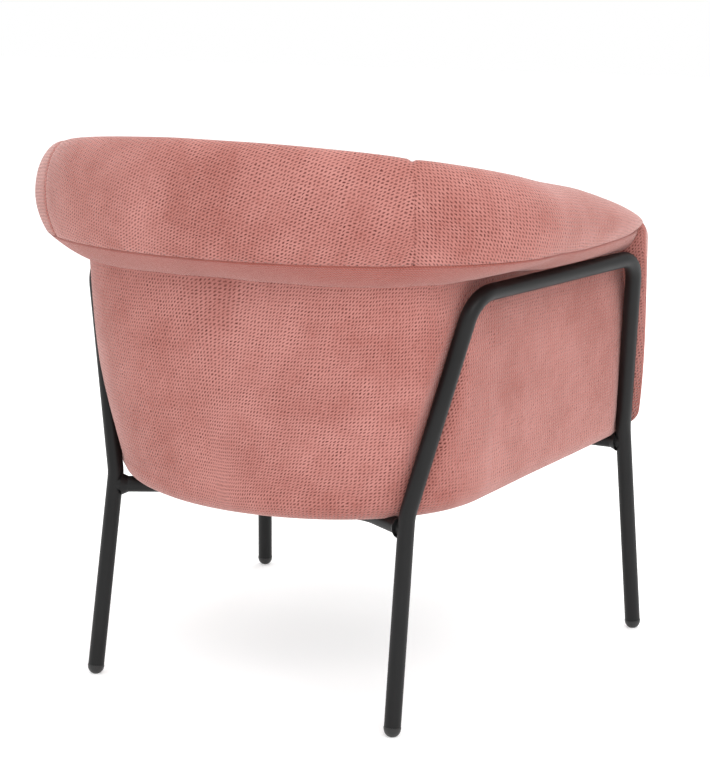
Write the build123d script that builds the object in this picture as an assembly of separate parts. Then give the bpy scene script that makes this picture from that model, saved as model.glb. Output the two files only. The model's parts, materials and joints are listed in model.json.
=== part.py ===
from build123d import *
import os
from math import asin, atan2, copysign, cos, degrees, pi, sin

# Tub armchair on a bent steel tube frame. Millimetres, +Z up, the chair faces -Y.
# The origin is on the floor, below the middle of the chair's box.

# ---------------------------------------------------------------- driving dimensions
TUBE_DIAMETER = 22.0
TUBE_WALL = 1.6
TUBE_RADIUS = TUBE_DIAMETER / 2

# Centreline corners of the left side frame (the right one is its mirror image).
REAR_FOOT = (235.0, 260.0, 12.0)
REAR_KNEE = (228.5, 213.5, 276.0)
REAR_SHOULDER = (295.0, 162.5, 556.0)
FRONT_SHOULDER = (351.0, -206.5, 564.0)
FRONT_KNEE = (308.0, -282.5, 305.0)
FRONT_FOOT = (322.5, -302.0, 12.0)
SHOULDER_BEND = 42.0
KNEE_BEND = 70.0

FRONT_TUBE_DROP = 22.0          # cross tubes meet the legs this far below the knees
REAR_TUBE_DROP = 16.0
REAR_BRACE_REACH = 80.0         # the rear cross tube runs forwards over this width,
REAR_BRACE_FORWARD = 44.0       # by this much, before it crosses under the seat
REAR_BRACE_BEND = 60.0

PAD_HALF_WIDTH = 394.0          # outer edge of the rolled rim, seen from above
PAD_DEPTH = 368.0               # the same, to the back and to the front
PAD_CENTRE = 99.0
PAD_BACK_POWER = 2.0
PAD_FRONT_POWER = 3.8
RIM_SEAM_HEIGHT = 606.0         # seam between the rim's side and its underside
RIM_UNDERSIDE = 574.0
RIM_TOP_AT_ORIGIN = 675.0       # the rim's top lies in a plane that falls to the front
RIM_TOP_SLOPE = 0.232
RIM_THICKNESS = 112.0
RIM_END_ANGLE = -36.0           # the arms' rim runs on to here before it is cut behind the arm fronts
CORNER_SEAM_ANGLE = 44.5        # where the back and arm panels of the rim meet

SHELL_TOP = 571.0
SHELL_CENTRE = 85.0
EDGE_RADIUS = 36.0              # rounding of the shell's bottom edge
# Plan outlines: half width, depth behind the centre, corner power, widening per length to the front.
TUB_TOP = (278.0, 209.0, 2.7, 0.15)
TUB_BOTTOM = (276.0, 200.0, 2.0, 0.052)
SPACE_TOP = (222.0, 147.0, 2.6, 0.05)
SPACE_BOTTOM = (204.0, 112.0, 2.2, 0.05)
SEAT_SLOPE = 0.05               # the bottom and the seat rise this much towards the front
BOTTOM_AT_ORIGIN = 273.0
LIP = 11.0                      # the padded edge hangs this far below the base board
WALL_BOTTOM = BOTTOM_AT_ORIGIN + EDGE_RADIUS

FABRIC = 2.0
WADDING = 8.0
SHELL_BOARD = 3.0
GAP = 0.4                       # air between neighbouring layers
BASE_THICKNESS = 15.0
RAIL_HEIGHT = 40.0
RAIL_THICKNESS = 25.0
RIB_DEPTH = 22.0
RIB_THICKNESS = 18.0
RIB_TURNS = (-8, 30, 58, 90, 122, 150, 188)
POST_DEPTH = 40.0
RIM_BOARD_THICKNESS = 18.0
WIRE_DIAMETER = 3.6
SEAT_FOAM_THICKNESS = 88.0
SEAT_PLAY = 1.5                 # air between the seat cushion and the arms
ARM_FRONT_RADIUS = 28.0
BOLT_DIAMETER = 6.0
PLATE_THICKNESS = 4.0
PLATE_LENGTH = 62.0
PLATE_WIDTH = 34.0
WASHER = 1.5
BOLT_OFFSET = 40.0              # bolts stand this far behind the cross tubes
SCREW_LENGTH = 78.0
BASE_INSET = 22.0
BASE_RING = 72.0
EDGE_ROLL_INSIDE = 46.0
BASE_FRONT = -340.0
ARM_INSIDE = 243.0              # the arms' fronts face the seat here
RAIL_SPAN = 205.0
BACK_RAIL_SPAN = 130.0
SEAT_FRAME_FRONT = -334.0
SEAT_FRAME_BACK = 200.0
BLOCK_LEG = 45.0
SPRING_COUNT = 6
SPRING_SPACING = 60.0
SPRING_WIDTH = 46.0
SPRING_TURNS = 18
FELT = 3.0
SEAT_FRONT = -369.8

os.makedirs("parts", exist_ok=True)


# ---------------------------------------------------------------- small helpers
def save(name, *solids):
    """Write one sub-part, which may be a group of separate solids."""
    pieces = [piece for solid in solids for piece in solid.solids()]
    export_step(pieces[0] if len(pieces) == 1 else Compound(children=pieces), f"parts/{name}.step")


def mirrored(solid):
    return mirror(solid, about=Plane.YZ)


def between(start, end, share):
    return tuple(a + (b - a) * share for a, b in zip(start, end))


def block(low, high):
    """A box from its lowest to its highest corner."""
    size = [b - a for a, b in zip(low, high)]
    middle = [(a + b) / 2 for a, b in zip(low, high)]
    return Pos(*middle) * Box(*size)


def rod(start, end, radius):
    """A round bar between two points."""
    line = Line(start, end)
    return sweep(Plane(origin=start, z_dir=line % 0) * Circle(radius), path=line)


# ---------------------------------------------------------------- seat slope
SEAT_TILT = degrees(asin(SEAT_SLOPE))
SEAT_FRAME = Pos(0, 0, BOTTOM_AT_ORIGIN + LIP) * Rot(-SEAT_TILT, 0, 0)


def on_seat(solid):
    """Place a piece drawn on a level base board onto the sloping one."""
    return SEAT_FRAME * solid


# ---------------------------------------------------------------- plan outlines
def front_limit(height):
    """Y of a plane that leans with the front legs and passes just in front of them."""
    lean = (FRONT_SHOULDER[1] - FRONT_KNEE[1]) / (FRONT_SHOULDER[2] - FRONT_KNEE[2])
    return FRONT_SHOULDER[1] - TUBE_RADIUS - 2 - lean * (FRONT_SHOULDER[2] - height)


def behind_arm_fronts(gap):
    """All of the room behind the leaning plane where the arm fronts begin."""
    top, foot = front_limit(SHELL_TOP), front_limit(SHELL_TOP - 100)
    lean = degrees(atan2(top - foot, 100))
    return Pos(0, top + gap, SHELL_TOP) * Rot(-lean, 0, 0) * block((-500, 0, -900), (500, 700, 900))


def superellipse(angle, power):
    side, depth = cos(angle), sin(angle)
    return (copysign(abs(side) ** (2 / power), side), copysign(abs(depth) ** (2 / power), depth))


def pad_point(angle, inset=0.0):
    """Point of the rim's outer edge, with the angle counted from +X towards the back."""
    power = PAD_BACK_POWER if sin(angle) >= 0 else PAD_FRONT_POWER
    reach = PAD_DEPTH - PAD_CENTRE if sin(angle) >= 0 else PAD_DEPTH + PAD_CENTRE
    x, y = superellipse(angle, power)
    return ((PAD_HALF_WIDTH - inset) * x, PAD_CENTRE + (reach - inset) * y)


def pad_outline(inset, height):
    points = [pad_point(2 * pi * step / 24, inset) for step in range(24)]
    return make_face(Pos(0, 0, height) * Spline(*points, periodic=True))


def tub_level(shape, inset, height, slope, front):
    """Outline of the tub at one level, open in front, from one arm front round the back to the other."""
    half_width, back, power, flare = shape
    points = []
    for share in (1.0, 0.66, 0.33):
        y = SHELL_CENTRE + (front - SHELL_CENTRE) * share
        points.append((half_width - inset + flare * (SHELL_CENTRE - y), y))
    for step in range(9):
        x, y = superellipse(pi * step / 8, power)
        points.append(((half_width - inset) * x, SHELL_CENTRE + (back - inset) * y))
    points += [(-x, y) for x, y in reversed(points[:3])]
    return Spline(*[(x, y, height - slope * y) for x, y in points])


def wall_curve(shapes, share, inset):
    """Outline at a share of the wall's height, from the rounded bottom edge (0) to the rim (1)."""
    shape = between(*shapes, share)
    height = WALL_BOTTOM + (SHELL_TOP - WALL_BOTTOM) * share
    return tub_level(shape, inset, height, SEAT_SLOPE * (1 - share), front_limit(height) + GAP)


def edge_curve(turn, inset):
    """Outline on the rounded bottom edge, where the edge has turned so far up from flat."""
    drop = EDGE_RADIUS * (1 - sin(turn * pi / 180))
    height = BOTTOM_AT_ORIGIN + EDGE_RADIUS * (1 - cos(turn * pi / 180))
    return tub_level(TUB_BOTTOM, inset + drop, height, SEAT_SLOPE, front_limit(height) + GAP)


def ring(outside, inside):
    """The band between two half outlines, closed at the arm fronts."""
    ends = [Line(outside @ 1, inside @ 1), Line(inside @ 0, outside @ 0)]
    return make_face(Wire([outside.edge(), ends[0].edge(), inside.edge(), ends[1].edge()]))


def wall(outer, inner, shares):
    """A wall layer of the tub between two insets."""
    tub = (TUB_BOTTOM, TUB_TOP)
    return loft([ring(wall_curve(tub, share, outer), wall_curve(tub, share, inner)) for share in shares])


def rounded_wall(outer, inner):
    """A wall layer that also follows the rounded bottom edge."""
    tub = (TUB_BOTTOM, TUB_TOP)
    turns = [ring(edge_curve(turn, outer), edge_curve(turn, inner)) for turn in (10, 30, 50, 70)]
    shares = (0, 0.33, 0.67, 1)
    rings = [ring(wall_curve(tub, share, outer), wall_curve(tub, share, inner)) for share in shares]
    return loft(turns + rings, ruled=True)


# ---------------------------------------------------------------- steel frame
def frame_path():
    corners = (REAR_FOOT, REAR_KNEE, REAR_SHOULDER, FRONT_SHOULDER, FRONT_KNEE, FRONT_FOOT)
    return FilletPolyline(*corners, radius=(KNEE_BEND, SHOULDER_BEND, SHOULDER_BEND, KNEE_BEND))


def tube_along(path, radius):
    return sweep(Plane(origin=path @ 0, z_dir=path % 0) * Circle(radius), path=path)


def leg_point(knee, foot, drop):
    """Where a cross tube's centre line meets a leg."""
    return between(knee, foot, drop / (knee[2] - foot[2]))


FRONT_JOINT = leg_point(FRONT_KNEE, FRONT_FOOT, FRONT_TUBE_DROP)
REAR_JOINT = leg_point(REAR_KNEE, REAR_FOOT, REAR_TUBE_DROP)


def cross_tube_paths():
    x, y, z = REAR_JOINT
    brace = (x - REAR_BRACE_REACH, y - REAR_BRACE_FORWARD, z)
    flip = [(-px, py, pz) for px, py, pz in (brace, REAR_JOINT)]
    return (Line(FRONT_JOINT, (-FRONT_JOINT[0], *FRONT_JOINT[1:])),
            FilletPolyline(REAR_JOINT, brace, *flip, radius=REAR_BRACE_BEND))


def steel_frame():
    path = frame_path()
    outside = tube_along(path, TUBE_RADIUS)
    side_frame = outside - tube_along(path, TUBE_RADIUS - TUBE_WALL)
    save("side_frame_left", side_frame)
    save("side_frame_right", mirrored(side_frame))
    beads = []
    solid_tubes = [outside, mirrored(outside)]
    for name, cross_path in zip(("front_cross_tube", "rear_cross_tube"), cross_tube_paths()):
        cross = tube_along(cross_path, TUBE_RADIUS)
        hollow = cross - tube_along(cross_path, TUBE_RADIUS - TUBE_WALL)
        save(name, hollow - outside - mirrored(outside))
        beads.append(weld_bead(cross_path, outside, cross))
        solid_tubes.append(cross)
    save("weld_beads", *beads, *[mirrored(bead) for bead in beads])
    return solid_tubes


def weld_bead(cross_path, leg, cross):
    """The fillet weld where a cross tube meets a leg: a collar that tapers along the cross tube."""
    start, along = cross_path @ 0, cross_path % 0
    collar = Cone(TUBE_RADIUS + 4.0, TUBE_RADIUS, 9.0, align=(Align.CENTER, Align.CENTER, Align.MIN))
    collar = Plane(origin=start + along * (TUBE_RADIUS - 1.0), z_dir=along) * collar
    bead = collar - leg - cross
    return max(bead.solids(), key=lambda solid: solid.volume)


def foot_plug(foot, knee):
    """A domed plastic plug: a thin rim below the tube's end, a dome, and a ribbed stem inside."""
    axis = Vector(*knee) - Vector(*foot)
    plane = Plane(origin=foot, z_dir=axis)
    low = (Align.CENTER, Align.CENTER, Align.MAX)
    rim = Cylinder(TUBE_RADIUS + 0.4, 2.0, align=low)
    dome = Pos(0, 0, -2.0) * Sphere(TUBE_RADIUS + 0.2) & block((-20, -20, -20), (20, 20, -2.0))
    stem = Cylinder(TUBE_RADIUS - TUBE_WALL - 0.2, 14.0, align=(Align.CENTER, Align.CENTER, Align.MIN))
    return plane * (rim + dome + stem)


def foot_plugs():
    plugs = [foot_plug(REAR_FOOT, REAR_KNEE), foot_plug(FRONT_FOOT, FRONT_KNEE)]
    plugs += [mirrored(plug) for plug in plugs]
    floor = block((-500, -500, -40), (500, 500, 0))
    save("foot_plugs", *[plug - floor for plug in plugs])


# ---------------------------------------------------------------- fixing to the frame
UP = (Align.CENTER, Align.CENTER, Align.MIN)
DOWN = (Align.CENTER, Align.CENTER, Align.MAX)


def bolt_places():
    """Bolts through the base board, each just behind a cross tube."""
    spots = ((190.0, FRONT_JOINT[1]), (95.0, REAR_JOINT[1] - REAR_BRACE_FORWARD))
    return [(side * x, tube_y + BOLT_OFFSET) for side in (1, -1) for x, tube_y in spots]


def mounting_plate(x, bolt_y):
    middle = bolt_y - BOLT_OFFSET + PLATE_LENGTH / 2 - TUBE_RADIUS - 2
    plate = Pos(x, middle, -GAP) * Box(PLATE_WIDTH, PLATE_LENGTH, PLATE_THICKNESS, align=DOWN)
    return plate - Pos(x, bolt_y, 0) * Cylinder(BOLT_DIAMETER / 2 + 0.4, 80)


def fixings(tubes):
    """Plates welded to the cross tubes, and the bolts, washers and tee nuts that hold the base board."""
    plates, bolts, washers, nuts = [], [], [], []
    head = extrude(Pos(0, 0, -WASHER) * RegularPolygon(5.5, 6), amount=-4.0)
    bolt = head + Pos(0, 0, -WASHER) * Cylinder(BOLT_DIAMETER / 2, 22.0, align=UP)
    washer = Cylinder(8.0, WASHER, align=DOWN) - Cylinder(BOLT_DIAMETER / 2 + 0.3, 8.0)
    flange = Pos(0, 0, BASE_THICKNESS) * Cylinder(10.0, 1.4, align=UP)
    nut = flange + Pos(0, 0, 1.0) * Cylinder(4.4, BASE_THICKNESS - 0.8, align=UP)
    nut -= Cylinder(BOLT_DIAMETER / 2 + 0.1, 80)
    for x, y in bolt_places():
        spot = Pos(x, y, 0)
        plates.append(on_seat(mounting_plate(x, y)))
        bolts.append(on_seat(spot * Pos(0, 0, -GAP - PLATE_THICKNESS) * bolt))
        washers.append(on_seat(spot * Pos(0, 0, -GAP - PLATE_THICKNESS) * washer))
        nuts.append(on_seat(spot * nut))
    cut_plates = [plate - tubes[2] - tubes[3] for plate in plates]
    save("mounting_plates", *[max(p.solids(), key=lambda solid: solid.volume) for p in cut_plates])
    save("base_bolts", *bolts)
    save("base_washers", *washers)
    save("base_tee_nuts", *nuts)


# ---------------------------------------------------------------- timber
RIB_OUTSIDE = FABRIC + WADDING + SHELL_BOARD + 2 * GAP
RIB_INSIDE = RIB_OUTSIDE + RIB_DEPTH
DECK = BASE_THICKNESS + RAIL_HEIGHT


def above_seat(height):
    """Everything above a plane parallel to the base board."""
    return on_seat(block((-500, -500, height), (500, 500, 700)))


def base_outline(inset, front):
    """Outline of the base board, square across the front."""
    curve = tub_level(TUB_BOTTOM, inset, 0, 0, front)
    return make_face(Wire([curve.edge(), Line(curve @ 1, curve @ 0).edge()]))


def base_board():
    """A plywood ring under the seat, narrower in front, where it passes between the arm fronts."""
    base = extrude(base_outline(BASE_INSET, BASE_FRONT), amount=BASE_THICKNESS)
    base -= extrude(base_outline(BASE_INSET + BASE_RING, BASE_FRONT + BASE_RING * 1.9), amount=BASE_THICKNESS)
    corner = block((ARM_INSIDE - 3, -800, 0), (500, front_limit(WALL_BOTTOM), BASE_THICKNESS))
    base -= corner + mirrored(corner)
    for x, y in bolt_places():
        base -= Pos(x, y, 0) * Cylinder(4.6, 60)
    save("base_board", on_seat(base))


def shell_timber():
    """Upright ribs and arm posts on the base board, the plywood rim that they carry, and the shell board."""
    core = wall(RIB_OUTSIDE, RIB_INSIDE, (-0.05, 0.45, 0.92)) & above_seat(BASE_THICKNESS + GAP)
    slab = block((0, -RIB_THICKNESS / 2, 0), (600, RIB_THICKNESS / 2, 700))
    turns = [Pos(0, SHELL_CENTRE, 0) * Rot(0, 0, turn) for turn in RIB_TURNS]
    save("shell_ribs", *[core & turn * slab for turn in turns])
    post_back = front_limit(SHELL_TOP) + POST_DEPTH
    post = core & block((0, -500, 0), (500, post_back, 700))
    save("arm_post_left", post)
    save("arm_post_right", mirrored(post))
    tub = (TUB_BOTTOM, TUB_TOP)
    rim_face = ring(wall_curve(tub, 1, RIB_OUTSIDE), wall_curve(tub, 1, RIB_INSIDE + 12))
    rim = extrude(rim_face, amount=-RIM_BOARD_THICKNESS, dir=(0, 0, 1))
    save("rim_board", without_screws(rim))
    save("shell_board", without_screws(wall(FABRIC + WADDING + GAP, RIB_OUTSIDE - GAP, (0, 0.5, 1))))


def seat_rails():
    """The timber frame on the base board that carries the seat springs."""
    low, high = BASE_THICKNESS + GAP, DECK
    front_inside, back_inside = SEAT_FRAME_FRONT + RAIL_THICKNESS, SEAT_FRAME_BACK - RAIL_THICKNESS
    front = block((-RAIL_SPAN, SEAT_FRAME_FRONT, low), (RAIL_SPAN, front_inside, high))
    back = block((-BACK_RAIL_SPAN, back_inside, low), (BACK_RAIL_SPAN, SEAT_FRAME_BACK, high))
    start, end = front_inside + GAP, back_inside - 60
    side = block((RAIL_SPAN - RAIL_THICKNESS, start, low), (RAIL_SPAN, end, high))
    save("front_rail", on_seat(front))
    save("back_rail", on_seat(back))
    save("side_rail_left", on_seat(side))
    save("side_rail_right", on_seat(mirrored(side)))
    corner = make_face(Polyline((0, 0), (BLOCK_LEG, 0), (0, BLOCK_LEG), close=True))
    wedge = extrude(corner, amount=RAIL_HEIGHT - 2)
    front_block = Pos(RAIL_SPAN - RAIL_THICKNESS - GAP, start, low) * Rot(0, 0, 90) * wedge
    save("corner_blocks", on_seat(front_block), on_seat(mirrored(front_block)))


# ---------------------------------------------------------------- springs
def spring_path(x, start, end, height):
    """A zigzag with rounded corners, made of straight runs and arcs."""
    step = (end - start) / SPRING_TURNS
    points = [(x - SPRING_WIDTH / 2, start, height)]
    for turn in range(SPRING_TURNS):
        edge = x + SPRING_WIDTH / 2 * (1 if turn % 2 == 0 else -1)
        points += [(edge, start + turn * step, height), (edge, start + (turn + 1) * step, height)]
    points.append((x + SPRING_WIDTH / 2, end, height))
    return FilletPolyline(*points, radius=step * 0.45)


def seat_springs():
    """Zigzag wire springs from the front rail to the back rail, with a clip at each end."""
    start, end = SEAT_FRAME_FRONT + 8, SEAT_FRAME_BACK - 8
    height = DECK + WIRE_DIAMETER / 2 + 0.2
    springs, clips = [], []
    for index in range(SPRING_COUNT // 2):
        x = (index + 0.5) * SPRING_SPACING
        spring = on_seat(tube_along(spring_path(x, start, end, height), WIRE_DIAMETER / 2))
        springs += [spring, mirrored(spring)]
        for y in (start, end):
            clip = Pos(x, y, DECK + 0.1) * Box(14, 12, WIRE_DIAMETER + 2.0, align=UP)
            clip -= Pos(x, y, DECK + 0.1) * Box(20, WIRE_DIAMETER + 0.6, WIRE_DIAMETER + 0.6, align=UP)
            clips += [on_seat(clip), on_seat(mirrored(clip))]
    save("seat_springs", *springs)
    save("spring_clips", *clips)


# ---------------------------------------------------------------- rim screws
def rim_screw_axes():
    """Where the side frames' top rails are screwed to the rim board: from inside the rim into the tube."""
    axes = []
    for y in (90.0, -110.0):
        share = (REAR_SHOULDER[1] - y) / (REAR_SHOULDER[1] - FRONT_SHOULDER[1])
        x, _, z = between(REAR_SHOULDER, FRONT_SHOULDER, share)
        axes.append(((x - SCREW_LENGTH, y, z), (x - TUBE_RADIUS + TUBE_WALL + 2.0, y, z)))
    return axes


def without_screws(solid):
    """Cut room for the rim screws, with their heads let in from inside."""
    for start, end in rim_screw_axes():
        hole = rod((start[0] - 40, *start[1:]), end, BOLT_DIAMETER / 2 + 0.3)
        counterbore = rod((start[0] - 40, *start[1:]), start, 6.0)
        solid = solid - hole - mirrored(hole) - counterbore - mirrored(counterbore)
    return solid


def rim_screws():
    screws = []
    for start, end in rim_screw_axes():
        head = rod((start[0] - 3.3, *start[1:]), start, 5.5)
        screw = head + rod(start, end, BOLT_DIAMETER / 2)
        screws += [screw, mirrored(screw)]
    save("rim_screws", *screws)


# ---------------------------------------------------------------- tub upholstery
def tub_upholstery():
    """Wadding and cover outside the shell, foam and cover inside it, and the padded bottom edge."""
    front_room, rear_room = [tube_along(path, TUBE_RADIUS + GAP) for path in cross_tube_paths()]
    cover = rounded_wall(0, FABRIC) - front_room - rear_room
    save("outer_cover", without_screws(cover))
    wadding = rounded_wall(FABRIC + GAP, FABRIC + WADDING) - front_room - rear_room
    save("outer_wadding", without_screws(wadding))
    front = front_limit(BOTTOM_AT_ORIGIN) + GAP
    edge = [ring(tub_level(TUB_BOTTOM, inset, BOTTOM_AT_ORIGIN + rise, SEAT_SLOPE, front),
                 tub_level(TUB_BOTTOM, EDGE_ROLL_INSIDE, BOTTOM_AT_ORIGIN + rise, SEAT_SLOPE, front))
            for inset, rise in ((EDGE_RADIUS + 5, 1.5), (BASE_INSET + 1, LIP - GAP))]
    save("bottom_edge_roll", loft(edge) - front_room - rear_room)
    tub, space = (TUB_BOTTOM, TUB_TOP), (SPACE_BOTTOM, SPACE_TOP)
    shares = (0.15, 0.5, 0.92)
    foam = [ring(wall_curve(tub, share, RIB_INSIDE + GAP), wall_curve(space, share, -FABRIC - GAP))
            for share in shares]
    lining = [ring(wall_curve(space, share, -FABRIC), wall_curve(space, share, 0)) for share in shares]
    save("inner_wall_foam", loft(foam))
    save("inner_cover", loft(lining))


# ---------------------------------------------------------------- rolled rim
def rim_top(y):
    return RIM_TOP_AT_ORIGIN + RIM_TOP_SLOPE * y


def rim_section(angle, inset):
    """Cross-section of the rolled rim, drawn square to its outer edge."""
    x, y = pad_point(angle)
    ahead_x, ahead_y = pad_point(angle + 0.01)
    along = Vector(ahead_x - x, ahead_y - y, 0).normalized()
    outward = Vector(along.Y, -along.X, 0)
    crown = rim_top(y - outward.Y * RIM_THICKNESS * 0.43)
    rise = crown - RIM_SEAM_HEIGHT
    seam = (-8 - inset, RIM_SEAM_HEIGHT)
    inner_foot = (-RIM_THICKNESS - 28 + inset, RIM_UNDERSIDE + inset)
    back_of_roll = (-RIM_THICKNESS * 0.87 + inset * 0.6, RIM_SEAM_HEIGHT + rise * 0.68 - inset * 0.6)
    widest = (-inset, RIM_SEAM_HEIGHT + rise * 0.42)
    shoulder = (-12 - inset * 0.8, RIM_SEAM_HEIGHT + rise * 0.8)
    ridge = (-RIM_THICKNESS * 0.43, crown - inset)
    upper = Spline(seam, widest, shoulder, ridge, back_of_roll, inner_foot)
    lower = Polyline(inner_foot, (-50 - inset, RIM_UNDERSIDE + inset), seam)
    plane = Plane(origin=(x, y, 0), x_dir=outward, z_dir=outward.cross(Vector(0, 0, 1)))
    return plane * make_face(upper + lower)


def rim_segment(start, end, steps, inset):
    """A length of the rolled rim between two angles in degrees."""
    angles = [start + (end - start) * step / steps for step in range(steps + 1)]
    return loft([rim_section(angle * pi / 180, inset) for angle in angles])


def rolled_rim():
    """Foam and cover of the rim's back and arms, with a seam strip under it."""
    corner = CORNER_SEAM_ANGLE
    spans = {"back": (corner + 0.1, 179.9 - corner, 6), "left": (RIM_END_ANGLE, corner - 0.1, 6)}
    strips = []
    for name, (start, end, steps) in spans.items():
        foam = rim_segment(start, end, steps, FABRIC + GAP)
        skin = rim_segment(start, end, steps, 0) - rim_segment(start - 0.5, end + 0.5, steps, FABRIC)
        if name == "left":
            foam &= behind_arm_fronts(GAP)
            skin &= behind_arm_fronts(GAP)
        split = RIM_SEAM_HEIGHT
        upper = skin & block((-500, -500, split + GAP / 2), (500, 500, 900))
        strips.append(skin & block((-500, -500, 0), (500, 500, split - GAP / 2)))
        save(f"rim_foam_{name}", foam)
        save(f"rim_cover_{name}", upper)
        if name == "left":
            save("rim_foam_right", mirrored(foam))
            save("rim_cover_right", mirrored(upper))
            strips.append(mirrored(strips[-1]))
    save("rim_underside", *strips)


# ---------------------------------------------------------------- arm fronts
def arm_front(inset):
    """The rounded front of the left arm, from the rim down to the seat's bottom edge."""
    outline = pad_outline(inset, 0) & block((ARM_INSIDE + inset, -500, -1), (500, FRONT_SHOULDER[1], 1))
    inner_corner = outline.vertices().sort_by(Axis.Y)[:2].sort_by(Axis.X)[0]
    column = extrude(fillet(inner_corner, ARM_FRONT_RADIUS), amount=900)
    top = Pos(0, 0, RIM_TOP_AT_ORIGIN - inset) * Rot(degrees(asin(RIM_TOP_SLOPE)), 0, 0)
    column &= top * block((-500, -600, -900), (500, 500, 0))
    column &= above_seat(inset - LIP)
    return column - behind_arm_fronts(-GAP - inset)


def arm_fronts():
    foam = arm_front(FABRIC + GAP)
    cover = arm_front(0) - arm_front(FABRIC)
    for name, solid in (("arm_front_foam", foam), ("arm_front_cover", cover)):
        save(f"{name}_left", solid)
        save(f"{name}_right", mirrored(solid))


# ---------------------------------------------------------------- seat
def seat_cushion(inset):
    """The seat cushion: flat below, crowned above, with a rounded front."""
    bottom = DECK + WIRE_DIAMETER + FELT + GAP
    faces = []
    for rise, pull_in in ((0, 6.0), (12, 0), (SEAT_FOAM_THICKNESS - 22, 0), (SEAT_FOAM_THICKNESS - 7, 7.0),
                          (SEAT_FOAM_THICKNESS, 24.0)):
        height = bottom + rise + inset * (1 if rise == 0 else -1 if rise == SEAT_FOAM_THICKNESS else 0)
        share = (height + LIP - EDGE_RADIUS) / (SHELL_TOP - WALL_BOTTOM)
        shape = between(SPACE_BOTTOM, SPACE_TOP, share)
        curve = tub_level(shape, SEAT_PLAY + inset + pull_in, height, 0, SEAT_FRONT + inset + pull_in)
        faces.append(make_face(Wire([curve.edge(), Line(curve @ 1, curve @ 0).edge()])))
    return on_seat(loft(faces))


def seat():
    """Insulating felt on the springs, the seat foam and its cover, the front border and the dust cover."""
    felt = tub_level(SPACE_BOTTOM, GAP, DECK + WIRE_DIAMETER + GAP, 0, SEAT_FRAME_FRONT)
    felt = make_face(Wire([felt.edge(), Line(felt @ 1, felt @ 0).edge()]))
    save("spring_felt", on_seat(extrude(felt, amount=FELT - GAP, dir=(0, 0, 1))))
    save("seat_foam", seat_cushion(FABRIC + GAP))
    save("seat_cover", seat_cushion(0) - seat_cushion(FABRIC))
    border = block((-ARM_INSIDE + 1, SEAT_FRONT + 6, -LIP), (ARM_INSIDE - 1, SEAT_FRAME_FRONT - 6, DECK))
    save("front_border", on_seat(border))
    dust = extrude(base_outline(EDGE_ROLL_INSIDE + 1, BASE_FRONT + 12), amount=-0.8, dir=(0, 0, 1))
    dust = Pos(0, 0, -GAP) * dust
    for x, y in bolt_places():
        dust -= Pos(x, y - BOLT_OFFSET + PLATE_LENGTH / 2 - 13, 0) * Box(PLATE_WIDTH + 4, PLATE_LENGTH + 4, 9)
    save("dust_cover", on_seat(dust))


def main():
    tubes = steel_frame()
    foot_plugs()
    fixings(tubes)
    rim_screws()
    base_board()
    shell_timber()
    seat_rails()
    seat_springs()
    tub_upholstery()
    rolled_rim()
    arm_fronts()
    seat()


main()
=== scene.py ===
import json
from math import copysign, cos, exp, log1p, pi, radians, sin
import bmesh
import bpy
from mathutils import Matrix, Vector, noise

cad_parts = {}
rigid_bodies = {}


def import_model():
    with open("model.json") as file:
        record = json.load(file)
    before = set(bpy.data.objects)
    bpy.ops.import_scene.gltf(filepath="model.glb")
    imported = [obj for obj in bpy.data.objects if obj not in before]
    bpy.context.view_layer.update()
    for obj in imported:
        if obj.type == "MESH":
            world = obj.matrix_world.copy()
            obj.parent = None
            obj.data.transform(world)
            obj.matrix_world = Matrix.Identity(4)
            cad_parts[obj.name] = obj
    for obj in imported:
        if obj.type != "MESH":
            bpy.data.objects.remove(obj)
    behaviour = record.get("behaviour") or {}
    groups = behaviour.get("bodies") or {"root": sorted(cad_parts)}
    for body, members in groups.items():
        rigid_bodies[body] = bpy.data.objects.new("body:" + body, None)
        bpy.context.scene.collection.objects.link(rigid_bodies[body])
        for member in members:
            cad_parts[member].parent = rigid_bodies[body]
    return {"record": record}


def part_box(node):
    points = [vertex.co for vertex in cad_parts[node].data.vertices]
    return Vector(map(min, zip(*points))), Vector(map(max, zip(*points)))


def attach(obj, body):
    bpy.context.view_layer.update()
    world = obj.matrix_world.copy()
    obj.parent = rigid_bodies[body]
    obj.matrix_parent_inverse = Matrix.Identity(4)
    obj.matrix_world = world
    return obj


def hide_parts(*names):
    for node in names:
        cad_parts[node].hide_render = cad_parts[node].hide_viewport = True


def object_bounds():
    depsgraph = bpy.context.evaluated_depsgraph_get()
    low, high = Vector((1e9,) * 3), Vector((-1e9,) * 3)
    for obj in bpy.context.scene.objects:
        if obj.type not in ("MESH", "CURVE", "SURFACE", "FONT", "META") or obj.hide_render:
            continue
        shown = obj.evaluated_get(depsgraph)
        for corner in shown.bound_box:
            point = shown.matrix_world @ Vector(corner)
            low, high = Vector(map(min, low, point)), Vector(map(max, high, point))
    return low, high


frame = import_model()
cad_box = [list(corner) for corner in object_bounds()]

# ---------------------------------------------------------------- sizes, in metres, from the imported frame
HALF_WIDTH = cad_box[1][0] * 0.9795
DEPTH = cad_box[1][1]
CROWN_AT_BACK = cad_box[1][2]
PAD_CENTRE = 0.269 * DEPTH              # the rolled rim is half an ellipse behind here
FRONT_POWER = 3.8
RIM_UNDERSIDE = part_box("rim_underside")[0][2]
RIM_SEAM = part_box("rim_underside")[1][2]
CROWN_SLOPE = 0.232
CROWN_AT_ORIGIN = CROWN_AT_BACK - CROWN_SLOPE * (DEPTH - 0.048) - 0.003
RIM_TUCK = 0.0125                       # the roll turns in by this much at its seam
RIM_WIDEST = 0.42                       # share of the roll's height where it is widest
CORNER_SEAM = radians(44.5)
SHELL_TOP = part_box("outer_cover")[1][2]
SHELL_CENTRE = 0.085
SHELL_SLOPE = 0.045
EDGE_RADIUS = 0.036
SHELL_BOTTOM = 0.273
ARM_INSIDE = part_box("arm_front_cover_left")[0][0]
ARM_FRONT_END = -0.337
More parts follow.
